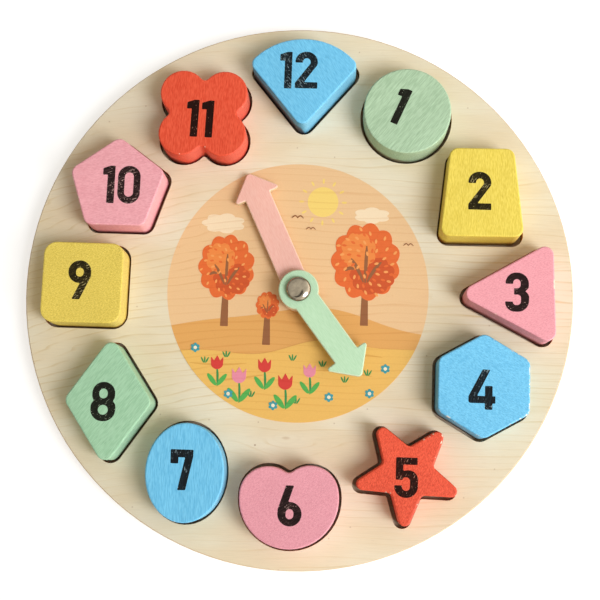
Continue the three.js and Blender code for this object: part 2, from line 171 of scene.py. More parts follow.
class Finish:
    # a material, or the world, while its nodes are being laid
    def __init__(self, name, owner=None):
        self.owner = owner or bpy.data.materials.new(name)
        self.owner.use_nodes = True
        self.tree = self.owner.node_tree
        self.tree.nodes.clear()

    def node(self, kind, settings, sockets, output=0):
        made = self.tree.nodes.new(kind)
        for key, value in settings.items():
            setattr(made, key, value)
        pairs = sockets.items() if isinstance(sockets, dict) else enumerate(sockets)
        for key, value in pairs:
            if isinstance(value, Channel):
                self.tree.links.new(value.socket, made.inputs[key])
            else:
                made.inputs[key].default_value = value
        return Channel(self, made.outputs[output]) if made.outputs else None

    def axes(self, vector):
        return [self.node("ShaderNodeSeparateXYZ", {}, [vector], i) for i in range(3)]

    def laid(self, size, turn=0, at=(0, 0, 0)):
        # coordinates in steps of size, turned about the upright
        return self.node("ShaderNodeMapping", {"vector_type": "TEXTURE"}, {
            "Vector": self.node("ShaderNodeTexCoord", {}, {}, "Object"),
            "Location": [v * mm for v in at],
            "Rotation": (0, 0, math.radians(turn)),
            "Scale": [v * mm for v in size],
        })

    def place(self, at=(0, 0, 0)):
        # x, y and z in millimetres
        return self.axes(self.laid((1, 1, 1), at=at))

    def away(self, middle=(0, 0), reach=(1, 1)):
        # how far a place is from a point of the dial, in steps of reach
        x, y, _ = self.place()
        across = (x - middle[0]) / reach[0]
        along = (y - middle[1]) / reach[1]
        return (across * across + along * along).math("SQRT")

    def noise(self, size, turn=0, at=(0, 0, 0), detail=2.0, roughness=0.5):
        return self.node("ShaderNodeTexNoise", {}, {
            "Vector": self.laid(size, turn, at), "Scale": 1.0,
            "Detail": detail, "Roughness": roughness,
        }, "Fac")

    def rise(self, value, low, high):
        # from 0 at low to 1 at high
        return self.node("ShaderNodeMapRange", {"interpolation_type": "SMOOTHSTEP"}, {
            "Value": value, "From Min": low, "From Max": high, "To Min": 0.0, "To Max": 1.0,
        })

    def blend(self, share, first, second):
        return self.node("ShaderNodeMix", {"data_type": "RGBA"}, {0: share, 6: first, 7: second}, 2)

    def shade(self, colour, amount):
        # multiplies a colour by a number near 1
        grey = self.node("ShaderNodeCombineXYZ", {}, [amount, amount, amount])
        colour = colour if isinstance(colour, Channel) else colour[:3]
        return self.node("ShaderNodeVectorMath", {"operation": "MULTIPLY"}, [colour, grey])

    def deepen(self, colour, power):
        return self.node("ShaderNodeGamma", {}, {"Color": colour, "Gamma": power})

    def facing(self):
        # x, y and z of the surface normal
        return self.axes(self.node("ShaderNodeNewGeometry", {}, {}, "Normal"))

    def relief(self, height, depth, strength=1.0):
        return self.node("ShaderNodeBump", {}, {
            "Height": height, "Distance": depth * mm, "Strength": strength,
        })

    def done(self, sockets):
        shader = self.node("ShaderNodeBsdfPrincipled", {}, sockets)
        self.node("ShaderNodeOutputMaterial", {}, {"Surface": shader})
        return self.owner


# Wood: the rotary-cut birch veneer on the board

birch = {
    "pale": photoColour(235, 225, 202),
    "warm": photoColour(231, 215, 185),
    "line": photoColour(202, 168, 92),
    "pore": photoColour(150, 108, 70),
    "knot": photoColour(176, 134, 84),
    "lineStep": 3.2,            # between the year lines
    "lineStrength": 0.36,
    "fineStep": 1.3,            # between the hair lines that run along with them
    "fineStrength": 0.12,
    "sway": 17,                 # how far the lines wander
    "ripple": 3.2,
    "poreStrength": 0.22,
    "knotAt": (-2.4, -58.6),
    "knotSize": (1.5, 0.55),
    "speckAt": (-14.5, -61.8),
    "strayPitch": 24,           # one faint speck in each square of this size
}


def birchFigure(finish, at=(0, 0, 0)):
    # the colour of the veneer, its height for the relief, and how dark its marks are
    x, y, _ = finish.place()
    knotX, knotY = birch["knotAt"]
    # the lines wander over the sheet, lean on the left and sag under the knot
    sway = finish.noise((120, 42, 400), at=at, detail=1) - 0.5
    ripple = finish.noise((40, 9, 400), at=at, detail=1) - 0.5
    uneven = finish.noise((150, 8, 400), at=at) - 0.5
    lean = (x - 10).math("MINIMUM", 0) ** 2 / 700
    sag = (-(((x - knotX - 2) / 17) ** 2)).math("EXPONENT")
    nearKnot = finish.rise(y, knotY - 26, knotY - 6) * finish.rise(-y, -knotY - 9, -knotY + 3)
    lay = y + sway * birch["sway"] + ripple * birch["ripple"] + uneven * 6
    lay = lay + lean + sag * nearKnot * 6
    # a year line darkens slowly and stops short
    step = (lay / birch["lineStep"]).math("FRACT")
    line = finish.rise(step, 0.74, 0.95) * (1 - finish.rise(step, 0.955, 1.0))
    # towards five o'clock the sheet is warmer, and its lines show out to the rim
    towardsFive = finish.rise(x - y, 60, 125)
    outside = finish.rise(abs(y), 35, 75) * (1 - towardsFive * 0.6)
    patches = finish.rise(finish.noise((60, 4, 400), at=at) - outside * 0.14, 0.28, 0.6)
    line = line * patches * (1 - outside * 0.35)
    fineStep = (lay / birch["fineStep"] + ripple).math("FRACT")
    finePatches = finish.rise(finish.noise((34, 3, 400), at=at), 0.42, 0.7)
    fineLine = finish.rise(fineStep, 0.4, 0.95) * finePatches
    fineShown = finish.rise(x, 10, 80) * (1 - outside) * birch["fineStrength"] + 0.04
    grain = line * birch["lineStrength"] + fineLine * fineShown

    fibre = finish.noise((7, 0.28, 3), at=at, detail=2)
    cloud = finish.rise(finish.noise((46, 16, 400), at=at, detail=2), 0.36, 0.66)
    colour = finish.blend(cloud, birch["pale"], birch["warm"])
    colour = finish.blend(towardsFive * 0.4, colour, birch["warm"])
    colour = finish.blend(grain, colour, birch["line"])
    # painted shade: the sheet is darkened a little towards three and nine
    sideShade = finish.rise(abs(x), 20, 62)
    colour = finish.shade(colour, fibre * 0.16 + 0.92 - sideShade * 0.075)
    pore = finish.rise(finish.noise((3.2, 0.2, 2), at=at), 0.7, 0.78)
    colour = finish.blend(pore * birch["poreStrength"], colour, birch["pore"])
    # a pin knot with faint rings round it
    fromKnot = finish.away(birch["knotAt"], birch["knotSize"])
    core = 1 - finish.rise(fromKnot, 0.3, 1.5)
    rings = (fromKnot * 2.2).math("SINE") * (1 - finish.rise(fromKnot, 2.0, 5.5)) * 0.06
    colour = finish.blend(core * 0.28 + rings.math("MAXIMUM", 0), colour, birch["knot"])
    # one dark speck, and fainter ones scattered over the sheet
    toStray = finish.node("ShaderNodeTexVoronoi", {"voronoi_dimensions": "2D"}, {
        "Vector": finish.laid([birch["strayPitch"]] * 3, at=at), "Scale": 1.0}, "Distance")
    stray = (1 - finish.rise(toStray, 0.008, 0.018)) * 0.45
    speck = (1 - finish.rise(finish.away(birch["speckAt"]), 0.15, 0.5)).math("MAXIMUM", stray)
    colour = finish.blend(speck * 0.75, colour, birch["pore"])
    height = fibre * 0.6 - grain * 0.8 - pore * 0.5
    dark = grain + pore * 0.25 + (0.5 - fibre) * 0.2 + speck * 0.4
    return colour, height, dark


plies = {
    "pale": photoColour(226, 196, 152),
    "brown": photoColour(190, 146, 102),
    "glue": photoColour(120, 84, 56),
}


def pliedEdge(finish, z, base, ply):
    # the layers of veneer seen on a cut edge, from base upwards
    layer = ((z - base) / (2 * ply)).math("FRACT")
    band = finish.rise(layer, 0.48, 0.52)
    glue = 1 - finish.rise(((z - base) / ply).math("FRACT").math("PINGPONG", 0.5), 0.03, 0.09)
    streak = finish.noise((4, 4, 0.12), detail=3)
    along = finish.blend(band, plies["pale"], plies["brown"])
    along = finish.shade(along, streak * 0.35 + 0.82)
    return finish.blend(glue * 0.45, along, plies["glue"])


# The two glued sheets

board = {
    "faceTop": 9.0,
    "backTop": 3.0,
    "rimEdge": 108,             # where the face ends and the chamfer of the rim starts
    "facePly": 1.2,
    "backPly": 1.0,
    "edgeEase": 0.09,           # softening of the recess edges
    "relief": 0.03,
}

scorched = {
    "black": photoColour(26, 16, 12),
    "brown": photoColour(222, 138, 72),
    "edge": photoColour(150, 108, 72),
    "rim": photoColour(168, 118, 84),
}


def faceBoardFinish():
    finish = Finish("birch_face")
    z = finish.place()[2]
    upward = finish.facing()[2]
    colour, height, _ = birchFigure(finish)
    outer = finish.rise(finish.away(), 107, 109)
    wall = 1 - finish.rise(abs(upward), 0.25, 0.6)
    corner = (1 - finish.rise(upward, 0.9, 0.985)) * (1 - wall)
    edge = pliedEdge(finish, z, board["backTop"], board["facePly"])
    # the cutter chars a recess wall: near the face it is a pale brown, paler than char as painted
    # light for what gets into the gap, and towards the bottom it turns near black, partly char and
    # partly painted shade
    soot = finish.noise((1.6, 1.6, 7), detail=4, roughness=0.65)
    paleTowardsFace = finish.rise(soot + (z - 5) * 0.12, 0.27, 0.67)
    wallCharLightAndShade = finish.blend(paleTowardsFace, scorched["black"], scorched["brown"])
    wallCharLightAndShade = finish.blend(paleTowardsFace * 0.2 + 0.02, wallCharLightAndShade, edge)
    # scorch marks where the sheet was held while its rim was cut
    mark = finish.rise(finish.noise((4, 4, 14), at=(3, 8, 0), detail=4), 0.62, 0.78)
    rim = finish.blend(mark * 0.45, edge, scorched["rim"])
    colour = finish.blend(corner * (1 - outer) * 0.4, colour, scorched["edge"])
    colour = finish.blend(corner * outer * 0.3, colour, scorched["rim"])
    colour = finish.blend(wall, colour, finish.blend(outer, wallCharLightAndShade, rim))
    return finish.done({
        "Base Color": colour,
        "Roughness": wall * 0.25 + height * 0.1 + 0.5,
        "Specular IOR Level": 0.35,
        "Normal": finish.relief(height, board["relief"]),
    })


def backBoardFinish():
    finish = Finish("birch_back")
    z = finish.place()[2]
    upward = finish.facing()[2]
    # cut from another place of the same veneer
    colour, height, _ = birchFigure(finish, at=(40, 55, 0))
    wall = 1 - finish.rise(abs(upward), 0.25, 0.6)
    recessFloor = finish.rise(upward, 0.5, 0.8)
    smoke = finish.noise((7, 2.4, 9), detail=4, roughness=0.6)
    stained = finish.blend(finish.rise(smoke, 0.35, 0.85) * 0.36 + 0.04, colour, scorched["brown"])
    colour = finish.blend(recessFloor, colour, stained)
    edge = pliedEdge(finish, z, 0.0, board["backPly"])
    pocket = 1 - finish.rise(finish.away(), 60, 70)
    edge = finish.blend(pocket * 0.6, edge, scorched["brown"])
    colour = finish.blend(wall, colour, edge)
    return finish.done({
        "Base Color": colour,
        "Roughness": height * 0.1 + 0.55,
        "Specular IOR Level": 0.3,
        "Normal": finish.relief(height, board["relief"]),
    })


def onFace(place):
    inside = math.hypot(place.x, place.y) < board["rimEdge"] * mm
    return inside and place.z > (board["faceTop"] - 0.01) * mm


faceBoard = cadCopy("face_board", "face_sheet")
openWhere(faceBoard, onFace)
bpy.ops.mesh.select_mode(type="EDGE")
leaveMesh()
slopes = {}
for face in faceBoard.data.polygons:
    for key in face.edge_keys:
        slopes.setdefault(key, []).append(abs(face.normal.z))
for edge in faceBoard.data.edges:
    # of the edges on the face, those where a recess wall comes up to it
    edge.select = edge.select and min(slopes[edge.key]) < 0.1 and max(slopes[edge.key]) > 0.9
bpy.ops.object.mode_set(mode="EDIT")
bpy.ops.mesh.bevel(offset=board["edgeEase"] * mm, segments=2, profile=0.5, clamp_overlap=False)
leaveMesh()
smoothFlats(faceBoard, 50)
dress(faceBoard, faceBoardFinish(), "board", "face_board")

backBoard = cadCopy("back_board", "back_sheet")
smoothFlats(backBoard, 30)
dress(backBoard, backBoardFinish(), "board", "back_board")
print("boards dressed")


# Paint on wood, for the blocks and hands

paints = {
    "blue": photoColour(119, 200, 242),
    "green": photoColour(165, 208, 177),
    "limeGreen": photoColour(175, 204, 175),
    "yellow": photoColour(233, 212, 96),
    "mustard": photoColour(228, 206, 101),
    "pink": photoColour(238, 165, 177),
    "palePink": photoColour(238, 172, 184),
    "rose": photoColour(229, 160, 175),
    "red": photoColour(229, 90, 62),
    "handPink": photoColour(240, 189, 178),
    "handGreen": photoColour(191, 225, 194),
    "bareWood": photoColour(240, 228, 206),
    "sawn": photoColour(158, 100, 62),
    # the dark foot, partly soot and partly painted shade
    "sootAndShade": photoColour(74, 46, 36),
    # a painted sheen for the sides turned to the light
    "hazeAndSheen": photoColour(255, 250, 250),
    "ink": photoColour(20, 15, 13),
    "rubbed": photoColour(214, 206, 184),
}

# For each block: turn is how its grain lies, length and contrast are those of the raised fibres,
# wear is how worn its corners are and knocks are x, y and reach of the places where it was hit.
# inkTurn and inkWear say how the scratches in its figure lie and how many there are. The hour's
# figure, or figures with their shifts, stands about at, a place on the dial, and leans by lean.
# For two blocks a pair says how much higher the dark foot, partly soot and partly painted shade,
# climbs on the sides turned away from the light, and how much light those sides keep under their
# painted shade.
blocks = {
    1: {"shape": "circle", "paint": "limeGreen", "turn": 52, "length": 3.8, "contrast": 0.52,
        "wear": 0.25, "inkTurn": 62, "inkWear": 0.4, "at": (39.3, 74.2), "lean": -23},
    2: {"shape": "trapezoid", "paint": "yellow", "turn": 92, "length": 2.0, "contrast": 0.46,
        "wear": 0.2, "inkTurn": 60, "inkWear": 0.7, "at": (70.9, 40.5)},
    3: {"shape": "triangle", "paint": "pink", "turn": 15, "length": 0.8, "contrast": 0.4,
        "wear": 0.36, "knocks": [(102, 3, 5)], "inkTurn": 20, "inkWear": 0.5, "at": (86.1, 0.6)},
    4: {"shape": "hexagon", "paint": "blue", "turn": 150, "length": 0.9, "contrast": 0.5,
        "wear": 0.4, "knocks": [(93, -24, 8), (91, -42, 12), (57, -50, 5)],
        "inkTurn": 75, "inkWear": 0.6, "at": (72.9, -37.7)},
    5: {"shape": "star", "paint": "red", "turn": 75, "length": 0.8, "contrast": 0.8,
        "wear": 0.3, "knocks": [(56, -60, 7), (50, -91, 5)], "inkTurn": 70, "inkWear": 0.8,
        "at": (44.7, -72.4)},
    6: {"shape": "heart", "paint": "rose", "turn": 40, "length": 0.8, "contrast": 0.42,
        "wear": 0.15, "inkTurn": 30, "inkWear": 0.6, "at": (0.6, -84.6)},
    7: {"shape": "oval", "paint": "blue", "turn": 91, "length": 3.0, "contrast": 0.48,
        "wear": 0.2, "inkTurn": 85, "inkWear": 0.4, "at": (-41.6, -72.5)},
    8: {"shape": "rhombus", "paint": "green", "turn": 52, "length": 3.4, "contrast": 0.32,
        "wear": 0.25, "inkTurn": 45, "inkWear": 0.4, "at": (-73.1, -47.4)},
    9: {"shape": "square", "paint": "mustard", "turn": 25, "length": 0.7, "contrast": 0.65,
        "wear": 0.2, "inkTurn": 30, "inkWear": 0.9, "at": (-85.6, -0.1)},
    10: {"shape": "pentagon", "paint": "palePink", "turn": 8, "length": 1.2, "contrast": 0.32,
         "wear": 0.2, "inkTurn": 18, "inkWear": 0.9,
         "figures": [("1", -4.0), ("0", 3.1)], "at": (-71.4, 39.0)},
    11: {"shape": "quatrefoil", "paint": "red", "turn": 90, "length": 2.4, "contrast": 0.45,
         "wear": 0.3, "sootAndShade": (2.2, 0.95), "inkTurn": 80, "inkWear": 0.3,
         "figures": [("1", -2.0), ("1", 4.0)], "at": (-41.3, 67.1), "lean": -1.5},
    12: {"shape": "fan", "paint": "blue", "turn": 125, "length": 2.6, "contrast": 0.5,
         "wear": 0.2, "sootAndShade": (4.5, 0.68), "inkTurn": 130, "inkWear": 0.9,
         "figures": [("1", -4.2), ("2", 3.05)], "at": (-2.3, 88.2)},
}

ink = {
    "room": 0.04,               # how far the tops of the blocks are let down for it
    "depth": 0.052,
    "top": 20.998,
}


def painted(finish, coat, seat):
    # thin paint over raised fibres: the fibres and the colour; seat picks the place in the noise
    turn, length, contrast = coat["turn"], coat["length"], coat["contrast"]
    coarse = finish.noise((length * 5, 1.6, 5), turn, seat, detail=1)
    fine = finish.noise((length, 0.34, 0.6), turn, seat, detail=1, roughness=0.65)
    grain = coarse * 0.1 + fine * 0.9
    # the coat lies a little thicker, and so deeper in colour, between the fibres
    colour = paints[coat["paint"]]
    colour = finish.blend(finish.rise(grain, 0.36, 0.62), finish.deepen(colour, 1.16), colour)
    cloud = finish.noise((22, 12, 14), turn, seat) - 0.5
    nap = finish.noise((0.7, 0.5, 0.6), turn, seat, detail=1) - 0.5
    pit = finish.rise(finish.noise((length * 0.8, 0.4, 0.8), turn, seat), 0.66, 0.74)
    level = (grain - 0.5) * contrast + cloud * 0.16 + nap * (contrast * 0.3 / length) + 1
    return grain, finish.shade(colour, level - pit * contrast * 0.3)


def blockFinish(block, seat):
    finish = Finish(f"{block['paint']}_{block['shape']}")
    grain, colour = painted(finish, block, seat)
    z = finish.place()[2]
    faceX, faceY, faceZ = finish.facing()
    level = abs(faceZ)
    side = 1 - finish.rise(level, 0.3, 0.97)
    corner = finish.rise(level, 0.12, 0.4) * (1 - finish.rise(level, 0.93, 0.995))
    # the foot of the sides shows bare wood where the spray hardly reached; on the sides turned away
    # from the light it reaches higher, as painted shade, and it reaches lower on those turned to
    # the light
    run = finish.noise((1.8, 1.8, 1.2), 0, seat, detail=4, roughness=0.6)
    awayFromLight = finish.rise(faceX * -0.6 - faceY * 0.8, 0.4, 1.0)
    towardsLight = finish.rise(faceX * 0.95 - faceY * 0.3, 0.1, 0.8)
    sootAndShadeUp, lightKept = block.get("sootAndShade", (0, 0.95))
    foot = 1 - finish.rise(z + run * 6 - awayFromLight * (sootAndShadeUp + 2.5) + towardsLight * 4, 8.5, 12.5)
    thinAndShaded = (run * 0.8 + awayFromLight * (sootAndShadeUp * 0.08) + 0.1).math("MINIMUM", 1)
    # painted sheen: the sides turned to the light are whitened a little
    colour = finish.blend(side * towardsLight * 0.05, colour, paints["hazeAndSheen"])
    # painted shade: the sides turned away from the light get a deeper, dimmer copy of the paint
    shadedSideColour = finish.shade(finish.deepen(colour, 1.12), lightKept)
    colour = finish.blend(side * awayFromLight, colour, shadedSideColour)
    colour = finish.blend(side * foot * thinAndShaded, colour, paints["sootAndShade" if sootAndShadeUp else "sawn"])
    # painted shade: low on every side, down in the recess, the paint is darkened
    recessShade = 1 - finish.rise(z + run * 4, 7.5, 10)
    colour = finish.blend(side * recessShade * 0.45, colour, paints["sootAndShade"])
    # chips along the corners, most of them where the block has been knocked
    knocked = 0
    for placeX, placeY, reach in block.get("knocks", []):
        off = finish.away((placeX, placeY), (reach, reach))
        knocked = 1 - finish.rise(off * off, 0.5, 1.0) + knocked
    flake = finish.noise((1.5, 1.1, 1.3), 0, seat, detail=3) + knocked * 0.13
    chipFrom = 0.74 - block["wear"] * 0.2
    chip = finish.rise(flake, chipFrom, chipFrom + 0.05)
    colour = finish.blend(chip * corner * 0.9, colour, paints["bareWood"])
    return finish.done({
        "Base Color": colour,
        "Roughness": grain * 0.16 + 0.38 + side * 0.15,
        "Specular IOR Level": 0.3,
        "Normal": finish.relief(grain, 0.06, 0.8),
    })


def inkFinish(name, block, seat):
    # black stamping ink, with the paint showing through its scratches
    finish = Finish(name)
    grain, under = painted(finish, block, seat)
    turn, wear = block["inkTurn"], block["inkWear"]
    patch = finish.noise((5, 5, 5), 0, seat, detail=3) - 0.5
    colour = finish.blend(0.012, paints["ink"], paints[block["paint"]])
    colour = finish.shade(colour, patch * 0.6 + 1)
    streak = finish.noise((3.0, 0.4, 3), turn, seat, detail=1)
    colour = finish.blend(finish.rise(streak, 0.4, 0.75) * (wear * 0.05), colour, under)
    scratch = finish.noise((2.6, 0.34, 3), turn, seat, detail=1) + patch * 0.45
    fleck = finish.noise((0.55, 0.5, 1), turn, seat, detail=0) + patch * 0.3
    scratched = finish.rise(scratch, 0.78 - wear * 0.13, 0.86 - wear * 0.13)
    flecked = finish.rise(fleck, 0.8 - wear * 0.1, 0.88 - wear * 0.1)
    lifted = scratched.math("MAXIMUM", flecked)
    rubbed = finish.blend(0.5, under, paints["rubbed"])
    return finish.done({
        "Base Color": finish.blend(lifted * 0.6, colour, rubbed),
        "Roughness": grain * 0.2 + 0.5,
        "Specular IOR Level": 0.06,
        "Normal": finish.relief(grain - (1 - lifted) * 0.1, 0.05, 0.7),
    })


# Flat outlines, for all that is stamped or printed

def roundedCorners(corners):
    # a closed outline through (x, y, radius) corners, each rounded by an arc that fits its sides
    count = len(corners)
    spots = [Vector(corner[:2]) for corner in corners]
    reaches = []
    for i, (_, _, radius) in enumerate(corners):
        opening = (spots[i - 1] - spots[i]).angle(spots[(i + 1) % count] - spots[i])
        reaches.append(radius / math.tan(opening / 2))
    fits = [1.0] * count
    for i in range(count):
        following = (i + 1) % count
        room = (spots[following] - spots[i]).length / (reaches[i] + reaches[following])
        fits[i] = min(fits[i], room)
        fits[following] = min(fits[following], room)
    points = []
    for i, here in enumerate(spots):
        back = (spots[i - 1] - here).normalized()
        ahead = (spots[(i + 1) % count] - here).normalized()
        reach = reaches[i] * fits[i]
        centre = here + (back + ahead).normalized() * reach / math.cos(back.angle(ahead) / 2)
        start = here + back * reach - centre
        sweep = start.angle_signed(here + ahead * reach - centre)
        steps = max(3, int(abs(sweep) * start.length * 4))
        for k in range(steps + 1):
            points.append(centre + Matrix.Rotation(-sweep * k / steps, 2) @ start)
    return points


def oval(x, y, halfWidth, halfHeight, steps=48):
    return [Vector((x + halfWidth * math.cos(a), y + halfHeight * math.sin(a)))
            for a in (2 * math.pi * k / steps for k in range(steps))]


def flatPiece(name, outlines, base, thickness, at=(0, 0), lean=0):
    # a closed sheet of ink, cut from outlines; an outline inside another is a hole
    curve = bpy.data.curves.new(name, "CURVE")
    curve.dimensions = "2D"
    curve.fill_mode = "BOTH"
    curve.extrude = thickness / 2 * mm
    for outline in outlines:
        spline = curve.splines.new("POLY")
        spline.points.add(len(outline) - 1)
        for point, corner in zip(spline.points, outline):
            point.co = (corner.x * mm, corner.y * mm, 0, 1)
        spline.use_cyclic_u = True
    piece = bpy.data.objects.new(name, curve)
    scene.collection.objects.link(piece)
    workOn(piece)
    bpy.ops.object.convert(target="MESH")
    piece = bpy.context.object
    piece.location = (at[0] * mm, at[1] * mm, (base + thickness / 2) * mm)
    piece.rotation_euler.z = math.radians(lean)
    bpy.ops.object.transform_apply()
    editMesh(piece)
    bpy.ops.mesh.remove_doubles(threshold=0.001 * mm)
    bpy.ops.mesh.normals_make_consistent(inside=False)
    leaveMesh()
    return piece


# The figures, drawn about their own middles: outlines of (x, y, corner radius)

figures = {
    "0": [[(-4.5, 7.7, 4.6), (4.5, 7.7, 4.6), (4.5, -7.7, 4.6), (-4.5, -7.7, 4.6)],
          [(-1.8, 5.0, 1.9), (1.8, 5.0, 1.9), (1.8, -4.9, 1.9), (-1.8, -4.9, 1.9)]],
    "1": [[(-1.6, -7.7, .3), (1.35, -7.7, .3), (1.35, 7.6, .3), (-.5, 7.6, .3), (-3.5, 6.5, .3),
           (-3.5, 3.8, .3), (-1.6, 3.9, .2)]],
    "2": [[(-4.6, 3.2, .35), (-4.6, 7.8, 4.4), (4.4, 7.8, 4.4), (4.4, 2.5, 2.6), (-.9, -4.9, .25),
           (4.5, -4.9, .3), (4.5, -7.5, .3), (-4.5, -7.5, .3), (-4.5, -5.3, .5), (1.5, 2.9, .9),
           (1.5, 5.1, 1.6), (-1.6, 5.1, 1.6), (-1.6, 3.2, .25)]],
    "3": [[(-4.7, 3.3, .35), (-4.7, 7.8, 4.4), (4.3, 7.8, 4.4), (4.3, 1.9, 1.9), (3.0, .55, .2),
           (4.4, -.9, 2.0), (4.4, -7.6, 4.4), (-4.8, -7.6, 4.4), (-4.8, -3.7, .35),
           (-1.8, -3.7, .25), (-1.8, -5.0, 1.5), (1.3, -5.0, 1.5), (1.3, -.9, 1.3),
           (-1.4, -.9, .25), (-1.4, 1.6, .25), (1.1, 1.6, 1.3), (1.1, 5.2, 1.5), (-1.8, 5.2, 1.5),
           (-1.8, 3.3, .25)]],
    "4": [[(.1, 7.8, .3), (3.1, 7.8, .3), (-1.9, -2.4, .2), (1.1, -2.4, .15), (1.1, 1.5, .3),
           (4.0, 1.5, .3), (4.0, -2.4, .15), (5.1, -2.4, .3), (5.1, -5.2, .3), (4.0, -5.2, .15),
           (4.0, -7.6, .35), (1.1, -7.6, .35), (1.1, -5.2, .15), (-5.2, -5.2, .9),
           (-5.2, -2.6, .5)]],
    "5": [[(-4.1, 7.8, .35), (4.1, 7.8, .35), (4.1, 5.1, .3), (-1.3, 5.1, .2), (-1.3, 2.7, .4),
           (.2, 3.0, .6), (4.4, 3.0, 3.6), (4.4, -7.4, 4.4), (-4.6, -7.4, 4.4), (-4.6, -2.8, .35),
           (-1.7, -2.8, .25), (-1.6, -4.8, 1.6), (1.4, -4.8, 1.5), (1.4, .3, 1.5), (-1.4, .3, .9),
           (-1.5, -.7, .2), (-4.1, -.7, .35)]],
    "6": [[(-1.7, 7.8, .3), (1.4, 7.8, .3), (-.6, 1.6, .3), (4.6, 1.6, 5.2), (4.6, -7.6, 5.2),
           (-4.6, -7.6, 5.2), (-4.6, -1.4, 2.4)],
          [(-1.5, -1.1, 1.7), (1.5, -1.1, 1.7), (1.5, -4.9, 1.7), (-1.5, -4.9, 1.7)]],
    "7": [[(-4.4, 7.8, .35), (4.4, 7.8, .35), (4.4, 5.2, .6), (1.9, -7.6, .35),
           (-1.2, -7.7, .35), (1.3, 4.8, .3), (-1.3, 4.8, .2), (-1.3, 2.4, .3), (-4.3, 2.4, .35)]],
    "8": [[(-4.6, 7.6, 4.4), (4.3, 7.6, 4.4), (4.3, 1.7, 2.2), (3.6, .3, .3), (4.7, -1.2, 2.4),
           (4.7, -7.6, 4.6), (-5.0, -7.6, 4.6), (-5.0, -1.2, 2.4), (-3.9, .3, .3),
           (-4.6, 1.7, 2.2)],
          [(-1.9, 5.0, 1.8), (1.4, 5.0, 1.8), (1.4, 1.2, 1.8), (-1.9, 1.2, 1.8)],
          [(-2.1, -1.3, 1.9), (1.8, -1.3, 1.9), (1.8, -5.1, 1.9), (-2.1, -5.1, 1.9)]],
    "9": [[(-4.6, 7.9, 5.2), (4.4, 7.9, 5.2), (4.4, 1.6, 2.4), (.3, -7.6, .3), (-2.8, -7.6, .3),
           (.2, -1.1, .3), (-4.6, -1.1, 5.2)],
          [(-1.6, 5.0, 1.7), (1.45, 5.0, 1.7), (1.45, 1.4, 1.7), (-1.6, 1.4, 1.7)]],
}


def figureOutlines(placed):
    # the outlines of one or two figures, each shifted to its place in the number
    shapes = []
    for figure, shift in placed:
        for outline in figures[figure]:
            shapes.append([point + Vector((shift, 0)) for point in roundedCorners(outline)])
    return shapes


for hour, block in blocks.items():
    node = f"block_{hour:02d}_{block['shape']}"
    body = f"block_{hour:02d}"
    low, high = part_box(node)
    middle = [(a + b) / 2 / mm for a, b in zip(low, high)]
    seat = (middle[0] + hour * 31, middle[1] - hour * 17, hour * 5)

    solid = cadCopy(node, f"painted_{node}")
    openWhere(solid, lambda place: place.z / mm > middle[2])
    bpy.ops.transform.translate(value=(0, 0, -ink["room"] * mm))
    leaveMesh()
    smoothFlats(solid, 55)
    dress(solid, blockFinish(block, seat), body, node)

    number = figureOutlines(block.get("figures", [(str(hour), 0)]))
    stamp = flatPiece(f"figure_{hour:02d}", number, ink["top"] - ink["depth"], ink["depth"],
                      block["at"], block.get("lean", 0))
    dress(stamp, inkFinish(f"ink_{hour:02d}", block, seat), body)
print("blocks painted and numbered")


# The printed disc: a small meadow with round trees, in ink that lets the wood through

pivotAt = (0.7, -0.45)          # where the hands turn, a little off the middle of the board

dial = {
    "radius": 52.5,
    "hole": 5.9,
    "ink": 0.02,                # each ink lies this much higher than the one before
    "woodShowing": 1.0,
}

prints = {
    "peach": photoColour(234, 195, 149),
    "sun": photoColour(243, 212, 120),
    "cloud": photoColour(244, 222, 190),
    "farHill": photoColour(226, 168, 96),
    "nearHill": photoColour(236, 188, 100),
    "furrow": photoColour(221, 168, 84),
    "trunk": photoColour(150, 96, 60),
    "crown": photoColour(228, 108, 50),
    "crownLight": photoColour(236, 138, 68),
    "crownDeep": photoColour(206, 86, 40),
    "leaf": photoColour(84, 176, 84),
    "leafDark": photoColour(56, 144, 80),
    "red": photoColour(214, 62, 56),
    "pink": photoColour(232, 142, 166),
    "teal": photoColour(64, 156, 170),
    "cream": photoColour(246, 234, 208),
    "leafGlint": photoColour(242, 162, 92),
}


def printFinish(name, colour):
    finish = Finish(name)
    _, height, dark = birchFigure(finish)
    # the grain darkens the ink as it darkens the wood
    deep = finish.node("ShaderNodeVectorMath", {"operation": "MULTIPLY"},
                       [colour[:3], (0.78, 0.6, 0.42)])
    tint = finish.blend(dark * dial["woodShowing"], colour, deep)
    dots = finish.noise((0.6, 0.5, 0.5), detail=1)
    return finish.done({
        "Base Color": finish.shade(tint, (dots - 0.5) * 0.08 + 1),
        "Roughness": height * 0.1 + 0.5,
        "Specular IOR Level": 0.35,
        "Normal": finish.relief(height, 0.025),
    })


def scalloped(x, y, halfWidth, halfHeight, lobes, depth):
    # a puffy round outline, for crowns, clouds and daisies
    points = []
    for k in range(lobes * 10):
        a = 2 * math.pi * k / (lobes * 10)
        share = 1 - depth * (1 - abs(math.sin(lobes * a / 2)))
        points.append(Vector((x + halfWidth * share * math.cos(a),
                              y + halfHeight * share * math.sin(a))))
    return points


def ribbon(points, width):
    # a line of one width that runs out to a point at both ends
    left, right = [], []
    for i, point in enumerate(points):
        ahead = points[min(i + 1, len(points) - 1)] - points[max(i - 1, 0)]
        side = Vector((-ahead.y, ahead.x)).normalized()
        half = width / 2 * math.sin(math.pi * (i + 0.25) / (len(points) - 0.5)) ** 0.5
        left.append(point + side * half)
        right.append(point - side * half)
    return left + right[::-1]


def leafShape(x, y, length, width, turn):
    way = Vector((math.cos(turn), math.sin(turn)))
    return ribbon([Vector((x, y)) + way * length * k / 12 for k in range(13)], width)


